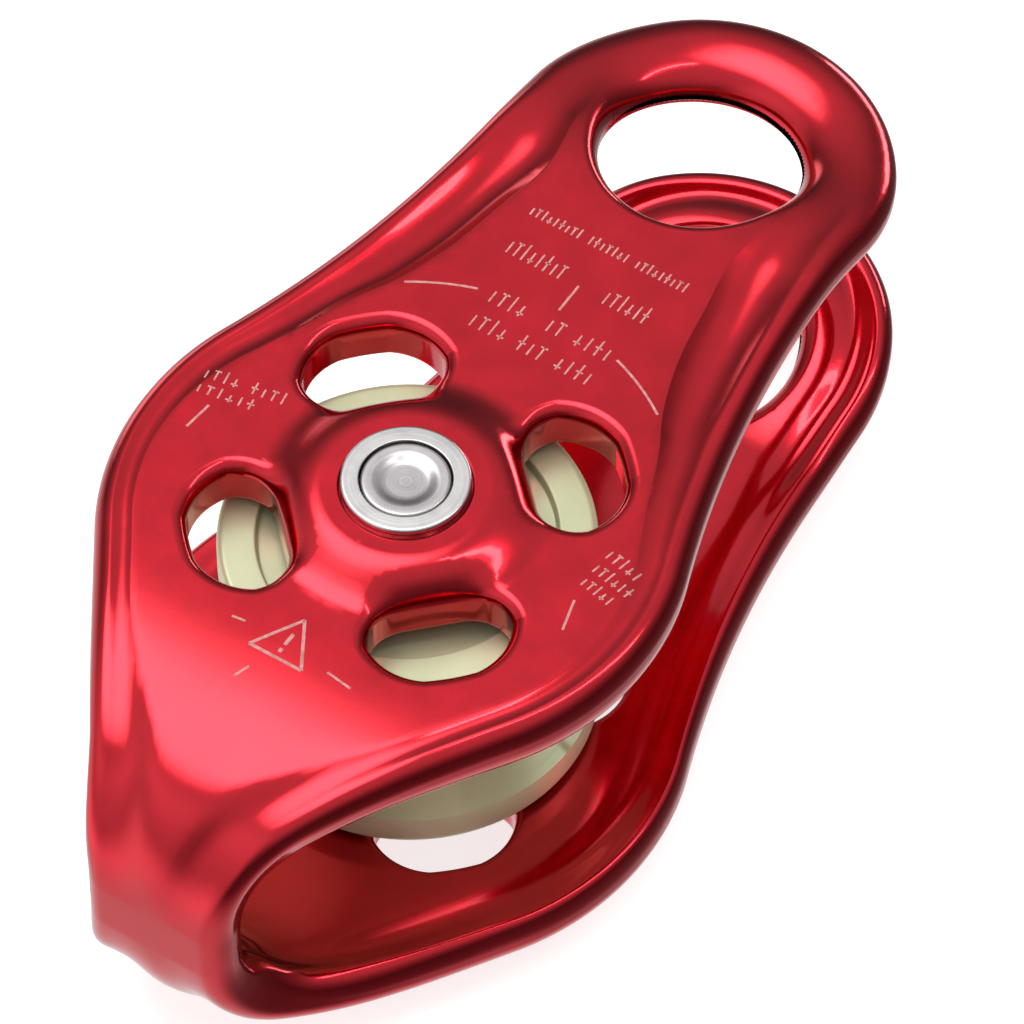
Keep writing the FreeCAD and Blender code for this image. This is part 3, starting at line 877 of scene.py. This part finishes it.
def on_body(path, lift):
    """Points of the rolled-out plane, on either side of the middle, on the outer face."""
    path = np.asarray(path, float)
    side = np.where(path[:, 0] < 0, -1.0, 1.0)
    spots, _ = surface(np.c_[np.abs(path[:, 0]), path[:, 1]], outer_height, lift)
    spots[:, 0] *= side
    return spots


def stroke(path, width, store):
    """A thin raised ribbon along a path."""
    path = np.asarray(path, float)
    ways = np.gradient(path, axis=0)
    ways /= np.linalg.norm(ways, axis=1)[:, None]
    side = np.c_[-ways[:, 1], ways[:, 0]] * width / 2
    first = len(store["points"])
    count = len(path)
    for offset, lift in ((1, MARK_TOP), (-1, MARK_TOP), (-1, MARK_FOOT), (1, MARK_FOOT)):
        store["points"] += on_body(path + offset * side, lift).tolist()
    for i in range(count - 1):
        for k in range(4):
            m = (k + 1) % 4
            face = [k * count + i, m * count + i, m * count + i + 1, k * count + i + 1]
            store["faces"].append([first + n for n in face])
    for i, order in ((0, (3, 2, 1, 0)), (count - 1, (0, 1, 2, 3))):
        store["faces"].append([first + k * count + i for k in order])


def straight(start, end, store, width=LINE_WIDTH):
    stroke(line(start, end, 0.4).tolist() + [list(end)], width, store)


def curved(radius, start, end, store):
    """An arc about the axle, between two angles in degrees."""
    angles = np.radians(np.linspace(start, end, 24))
    stroke(np.c_[radius * np.cos(angles), radius * np.sin(angles)], LINE_WIDTH, store)


def tick_row(start, end, count, height, store, gap=()):
    """A row of short marks, upright and level by turns, as a stand-in for small print."""
    start, end = np.array(start, float), np.array(end, float)
    way = (end - start) / np.linalg.norm(end - start)
    up = np.array([-way[1], way[0]])
    step = (end - start) / (count - 1)
    for i in range(count):
        if i in gap:
            continue
        foot = start + i * step
        straight(foot, foot + up * height * (0.7, 1.0, 0.85)[(i * 5) % 3], store, TICK_WIDTH)
        if i % 2:
            level = foot + up * height * (0.2, 0.8, 0.5)[i % 3]
            straight(level - step * 0.35, level + step * 0.35, store, TICK_WIDTH)


def laser_marks(material):
    store = {"points": [], "faces": []}
    # Below the eye: two arcs, a line between two short rows, and three longer rows
    curved(27.1, 55, 72, store)
    curved(27.1, 108, 124, store)
    straight((0, 27.9), (0, 31.6), store)
    tick_row((-9.2, 36.6), (9.2, 36.6), 27, 1.3, store, gap=(9, 17))
    tick_row((-8.6, 31.2), (-2.4, 31.2), 8, 2.2, store)
    tick_row((3.2, 31.0), (7.8, 31.0), 6, 2.2, store)
    tick_row((-6.6, 25.0), (7.2, 25.0), 13, 2.1, store, gap=(4, 5, 8))
    tick_row((-6.6, 21.4), (7.2, 21.4), 13, 2.1, store, gap=(4, 8))
    # Beside the hub: rows with a line below them, to the left and to the right
    tick_row((-25.4, 1.5), (-17.0, 2.8), 9, 1.5, store, gap=(4,))
    tick_row((-25.0, -0.4), (-19.4, 0.5), 6, 1.3, store)
    straight((-23.0, -1.2), (-23.4, -4.6), store)
    tick_row((20.9, 4.4), (24.6, 3.6), 5, 1.5, store)
    tick_row((20.7, 2.3), (25.0, 1.4), 6, 1.4, store)
    tick_row((20.6, 0.3), (24.0, -0.4), 5, 1.3, store)
    straight((21.1, -1.6), (22.1, -5.3), store)
    # Below the hub: a warning triangle among three short lines
    corners = [(0.0, -18.2), (3.1, -23.4), (-3.1, -23.4)]
    for i in range(3):
        straight(corners[i - 1], corners[i], store, 0.34)
    straight((0, -20.2), (0, -21.7), store, 0.4)
    straight((0, -22.2), (0, -22.7), store, 0.4)
    straight((-6.4, -21.6), (-4.9, -21.4), store)
    straight((-1.6, -25.6), (-2.2, -27.2), store)
    straight((5.4, -22.2), (8.4, -22.6), store)
    piece = add_piece("laser_marks", store["points"], store["faces"], material)
    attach(piece, "frame")


# ---------------------------------------------------------------------------------------------
# Materials. Texture scales are for coordinates in metres.
# ---------------------------------------------------------------------------------------------
NOISE_SPAN = (0.3, 0.7)  # the part of a noise texture's range that a ramp spreads out


class Shader:
    """A node material with a Principled shader, and short ways to add to it. Values set when it is
    made go to the shader's own sockets, with _ for a space in their names."""

    def __init__(self, name, **values):
        self.material = bpy.data.materials.new(name)
        self.material.use_nodes = True
        self.tree = self.material.node_tree
        self.main = self.tree.nodes["Principled BSDF"]
        self.place = self.tree.nodes.new("ShaderNodeTexCoord").outputs["Object"]
        for key, value in values.items():
            self.main.inputs[key.replace("_", " ")].default_value = value

    def noise(self, scale, detail=3.0, rough=0.5, place=None):
        node = self.tree.nodes.new("ShaderNodeTexNoise")
        node.inputs["Scale"].default_value = scale
        node.inputs["Detail"].default_value = detail
        node.inputs["Roughness"].default_value = rough
        self.tree.links.new(place or self.place, node.inputs["Vector"])
        return node.outputs["Fac"]

    def turning(self, scale):
        """Fine lines round the Z axis, from noise along the radius and the height."""
        split = self.tree.nodes.new("ShaderNodeSeparateXYZ")
        self.tree.links.new(self.place, split.inputs[0])
        flat = self.tree.nodes.new("ShaderNodeCombineXYZ")
        self.tree.links.new(split.outputs[0], flat.inputs[0])
        self.tree.links.new(split.outputs[1], flat.inputs[1])
        length = self.tree.nodes.new("ShaderNodeVectorMath")
        length.operation = "LENGTH"
        self.tree.links.new(flat.outputs[0], length.inputs[0])
        joined = self.tree.nodes.new("ShaderNodeCombineXYZ")
        self.tree.links.new(length.outputs["Value"], joined.inputs[0])
        self.tree.links.new(split.outputs[2], joined.inputs[1])
        return self.noise(scale, 4.0, 0.6, joined.outputs[0])

    def ramp(self, source, socket, low, high):
        """The socket's value or colour goes from low to high with the source."""
        node = self.tree.nodes.new("ShaderNodeValToRGB")
        for element, position, value in zip(node.color_ramp.elements, NOISE_SPAN, (low, high)):
            element.position = position
            element.color = (*value, 1) if hasattr(value, "__len__") else (value, value, value, 1)
        self.tree.links.new(source, node.inputs["Fac"])
        self.tree.links.new(node.outputs["Color"], self.main.inputs[socket])

    def bump(self, source, depth):
        """Bumps as high as depth, in metres, where the source is 1."""
        node = self.tree.nodes.new("ShaderNodeBump")
        node.inputs["Strength"].default_value = 1.0
        node.inputs["Distance"].default_value = depth
        self.tree.links.new(source, node.inputs["Height"])
        self.tree.links.new(node.outputs["Normal"], self.main.inputs["Normal"])


def anodised_red():
    s = Shader("anodised_red", Metallic=1.0, Coat_Weight=0.42, Coat_Roughness=0.08, Coat_IOR=1.6)
    s.ramp(s.noise(90, 3), "Base Color", (0.55, 0.007, 0.018), (0.64, 0.010, 0.025))
    s.ramp(s.noise(260, 4), "Roughness", 0.14, 0.21)
    s.bump(s.noise(1500, 2), 0.000004)
    return s.material


def pale_sheave():
    s = Shader("anodised_pale_green", Metallic=0.35)
    s.ramp(s.noise(120, 3), "Base Color", (0.57, 0.63, 0.39), (0.67, 0.72, 0.47))
    s.ramp(s.turning(2400), "Roughness", 0.28, 0.42)
    s.bump(s.turning(3200), 0.000008)
    return s.material


def turned_steel(name, low, high, rough_low, rough_high):
    s = Shader(name, Metallic=1.0)
    s.ramp(s.noise(300, 3), "Base Color", low, high)
    s.ramp(s.turning(2600), "Roughness", rough_low, rough_high)
    s.bump(s.turning(3600), 0.000005)
    return s.material


def polished_steel():
    s = Shader("polished_bearing_steel", Metallic=1.0)
    s.ramp(s.noise(500, 3), "Base Color", (0.66, 0.67, 0.70), (0.76, 0.77, 0.79))
    s.ramp(s.noise(900, 3), "Roughness", 0.08, 0.16)
    return s.material


def cage_brass():
    s = Shader("turned_brass", Metallic=1.0)
    s.ramp(s.noise(400, 3), "Base Color", (0.66, 0.46, 0.16), (0.78, 0.58, 0.26))
    s.ramp(s.turning(2400), "Roughness", 0.25, 0.4)
    return s.material


def spring_steel():
    s = Shader("phosphated_spring_steel", Metallic=0.8)
    s.ramp(s.noise(700, 4), "Base Color", (0.06, 0.06, 0.065), (0.13, 0.13, 0.14))
    s.ramp(s.noise(500, 3), "Roughness", 0.38, 0.55)
    return s.material


def marked_surface():
    s = Shader("laser_marked_surface")
    s.ramp(s.noise(1800, 4), "Base Color", (0.54, 0.18, 0.17), (0.78, 0.38, 0.36))
    s.ramp(s.noise(900, 3), "Roughness", 0.55, 0.75)
    return s.material


def floor_surface():
    s = Shader("pale_floor", Roughness=0.9, Emission_Color=(1, 1, 1, 1), Emission_Strength=0.75)
    s.ramp(s.noise(3, 2), "Base Color", (0.60, 0.60, 0.60), (0.62, 0.62, 0.62))
    return s.material


RED = anodised_red()
FINISHES = {
    "anodised_body": RED,
    "anodised_sheave": pale_sheave(),
    "axle_steel": turned_steel("turned_axle_steel", (0.44, 0.41, 0.42), (0.56, 0.53, 0.54), 0.2, 0.32),
    "washer_steel": turned_steel("turned_washer_steel", (0.56, 0.54, 0.54), (0.7, 0.68, 0.68), 0.18, 0.3),
    "spacer_steel": turned_steel("turned_spacer_steel", (0.52, 0.52, 0.53), (0.64, 0.64, 0.65), 0.25, 0.4),
    "bearing_steel": polished_steel(),
    "shield_steel": turned_steel("pressed_shield_steel", (0.48, 0.49, 0.51), (0.6, 0.61, 0.63), 0.3, 0.45),
    "cage_brass": cage_brass(),
    "ring_steel": spring_steel(),
}


def finish_cad_nodes():
    """Each CAD node gets the material of its slot."""
    for part in frame["record"]["subparts"]:
        node = frame["nodes"][part["node"]]
        material = FINISHES[part["material_slot"]]
        if not node.material_slots:
            node.data.materials.append(material)
        for slot in node.material_slots:
            slot.material = material


# ---------------------------------------------------------------------------------------------
# Camera, floor and light
# ---------------------------------------------------------------------------------------------


def view_axes(azimuth, elevation, roll):
    """The camera's right, up and back directions. Azimuth 0 looks along +Y. Angles in degrees."""
    a, e, r = map(math.radians, (azimuth, elevation, roll))
    back = Vector((math.sin(a) * math.cos(e), -math.cos(a) * math.cos(e), math.sin(e)))
    level = Vector((math.cos(a), math.sin(a), 0))
    rise_up = back.cross(level)
    right = level * math.cos(r) + rise_up * math.sin(r)
    return right, back.cross(right), back


# The photograph's angle. The camera looks at a point a little off the middle of the CAD's box, with
# the offsets in millimetres.
AZIMUTH, ELEVATION, ROLL = 34.06, 53.49, -0.99
RIGHT, UP, BACK = view_axes(AZIMUTH, ELEVATION, ROLL)
MIDDLE = (Vector(cad_box[0]) + Vector(cad_box[1])) / 2
AIM_OFFSET = (4.5, -0.3, 5.9)
AIM_TO_LEFT = 0.3
AIM = MIDDLE + Vector(AIM_OFFSET) * MM - RIGHT * AIM_TO_LEFT * MM
CAMERA_DISTANCE = 1.2
LENS = 416.7


def camera():
    data = bpy.data.cameras.new("camera")
    data.sensor_width = 36.0
    data.lens = LENS
    data.clip_end = 20.0
    eye = bpy.data.objects.new("camera", data)
    turn = Matrix((RIGHT, UP, BACK)).transposed().to_4x4()
    eye.matrix_world = Matrix.Translation(AIM + BACK * CAMERA_DISTANCE) @ turn
    bpy.context.scene.collection.objects.link(eye)
    bpy.context.scene.camera = eye


def floor():
    """A plain pale floor, a little below the pulley. Polished faces don't mirror it."""
    half, gap = 6.0, 0.0004
    z = cad_box[0][2] - gap
    corners = [(-half, -half, z), (half, -half, z), (half, half, z), (-half, half, z)]
    mesh = bpy.data.meshes.new("floor")
    mesh.from_pydata(corners, [], [(0, 1, 2, 3)])
    mesh.materials.append(floor_surface())
    ground = bpy.data.objects.new("floor", mesh)
    bpy.context.scene.collection.objects.link(ground)
    ground.visible_glossy = False


def softbox(name, direction, distance, size, power):
    """A rectangular lamp that points at the pulley from a direction."""
    data = bpy.data.lights.new(name, "AREA")
    data.shape = "RECTANGLE"
    data.size, data.size_y = size
    data.energy = power
    lamp = bpy.data.objects.new(name, data)
    way = Vector(direction).normalized()
    turn = way.to_track_quat("Z", "Y").to_matrix().to_4x4()
    lamp.matrix_world = Matrix.Translation(MIDDLE + way * distance) @ turn
    bpy.context.scene.collection.objects.link(lamp)


# The sky's brightness by height, from straight down at 0 to straight up at 1
SKY = ((0.0, 0.22), (0.30, 0.14), (0.54, 0.10), (0.70, 0.28), (0.86, 0.66), (1.0, 0.8))
# Soft bright areas of the sky: the direction, how many degrees off it each one starts and is full,
# and its strength
GLOWS = (
    ((-0.45, -0.22, -0.87), 78.0, 42.0, 0.65),
    ((-0.60, -0.75, 0.10), 60.0, 22.0, 0.55),
    ((-0.33, 0.05, 0.94), 26.0, 5.0, 4.0),
    ((-0.865, 0.49, 0.0), 16.0, 4.0, 1.6),
)


def sky_by_height(tree, direction):
    """The sky's colour from the height part of the direction, which goes from -1 to 1."""
    split = tree.nodes.new("ShaderNodeSeparateXYZ")
    tree.links.new(direction, split.inputs[0])
    height = tree.nodes.new("ShaderNodeMath")
    height.operation = "MULTIPLY_ADD"
    height.inputs[1].default_value = 0.5
    height.inputs[2].default_value = 0.5
    tree.links.new(split.outputs[2], height.inputs[0])
    ramp = tree.nodes.new("ShaderNodeValToRGB")
    stops = ramp.color_ramp.elements
    stops.remove(stops[0])
    stops[0].position = 1.0
    for position, _ in SKY[:-1]:
        stops.new(position)
    for stop, (_, level) in zip(stops, SKY):
        stop.color = (level, level, level, 1)
    tree.links.new(height.outputs[0], ramp.inputs["Fac"])
    return ramp.outputs["Color"]


def with_glow(tree, direction, colour, middle, start, full, strength):
    """The colour with a soft bright area added round the middle direction."""
    toward = tree.nodes.new("ShaderNodeVectorMath")
    toward.operation = "DOT_PRODUCT"
    toward.inputs[1].default_value = Vector(middle).normalized()
    tree.links.new(direction, toward.inputs[0])
    glow = tree.nodes.new("ShaderNodeMapRange")
    glow.interpolation_type = "SMOOTHSTEP"
    glow.inputs["From Min"].default_value = math.cos(math.radians(start))
    glow.inputs["From Max"].default_value = math.cos(math.radians(full))
    glow.inputs["To Max"].default_value = strength
    tree.links.new(toward.outputs["Value"], glow.inputs["Value"])
    both = tree.nodes.new("ShaderNodeMixRGB")
    both.blend_type = "ADD"
    both.inputs["Fac"].default_value = 1.0
    tree.links.new(colour, both.inputs["Color1"])
    tree.links.new(glow.outputs["Result"], both.inputs["Color2"])
    return both.outputs["Color"]


def studio():
    """Soft light from all round: bright overhead, dimmest just above the horizon, and a little from
    below. The glows are added to it."""
    world = bpy.data.worlds.new("studio")
    world.use_nodes = True
    tree = world.node_tree
    direction = tree.nodes.new("ShaderNodeTexCoord").outputs["Generated"]
    colour = sky_by_height(tree, direction)
    for glow in GLOWS:
        colour = with_glow(tree, direction, colour, *glow)
    tree.links.new(colour, tree.nodes["Background"].inputs["Color"])
    bpy.context.scene.world = world


def lights():
    bpy.context.scene.view_settings.view_transform = "Standard"
    studio()
    softbox("right_strip", (0.36, 0.30, 0.88), 0.9, (0.06, 0.6), 0.9)
    softbox("back", (0.05, 0.99, 0.04), 0.9, (0.5, 0.16), 1.3)


forged_body(RED)
sheave(FINISHES["anodised_sheave"])
for name, sign in (("upper", 1), ("lower", -1)):
    washer(name, sign, FINISHES["washer_steel"])
axle(FINISHES["axle_steel"])
laser_marks(marked_surface())
finish_cad_nodes()
camera()
floor()
lights()
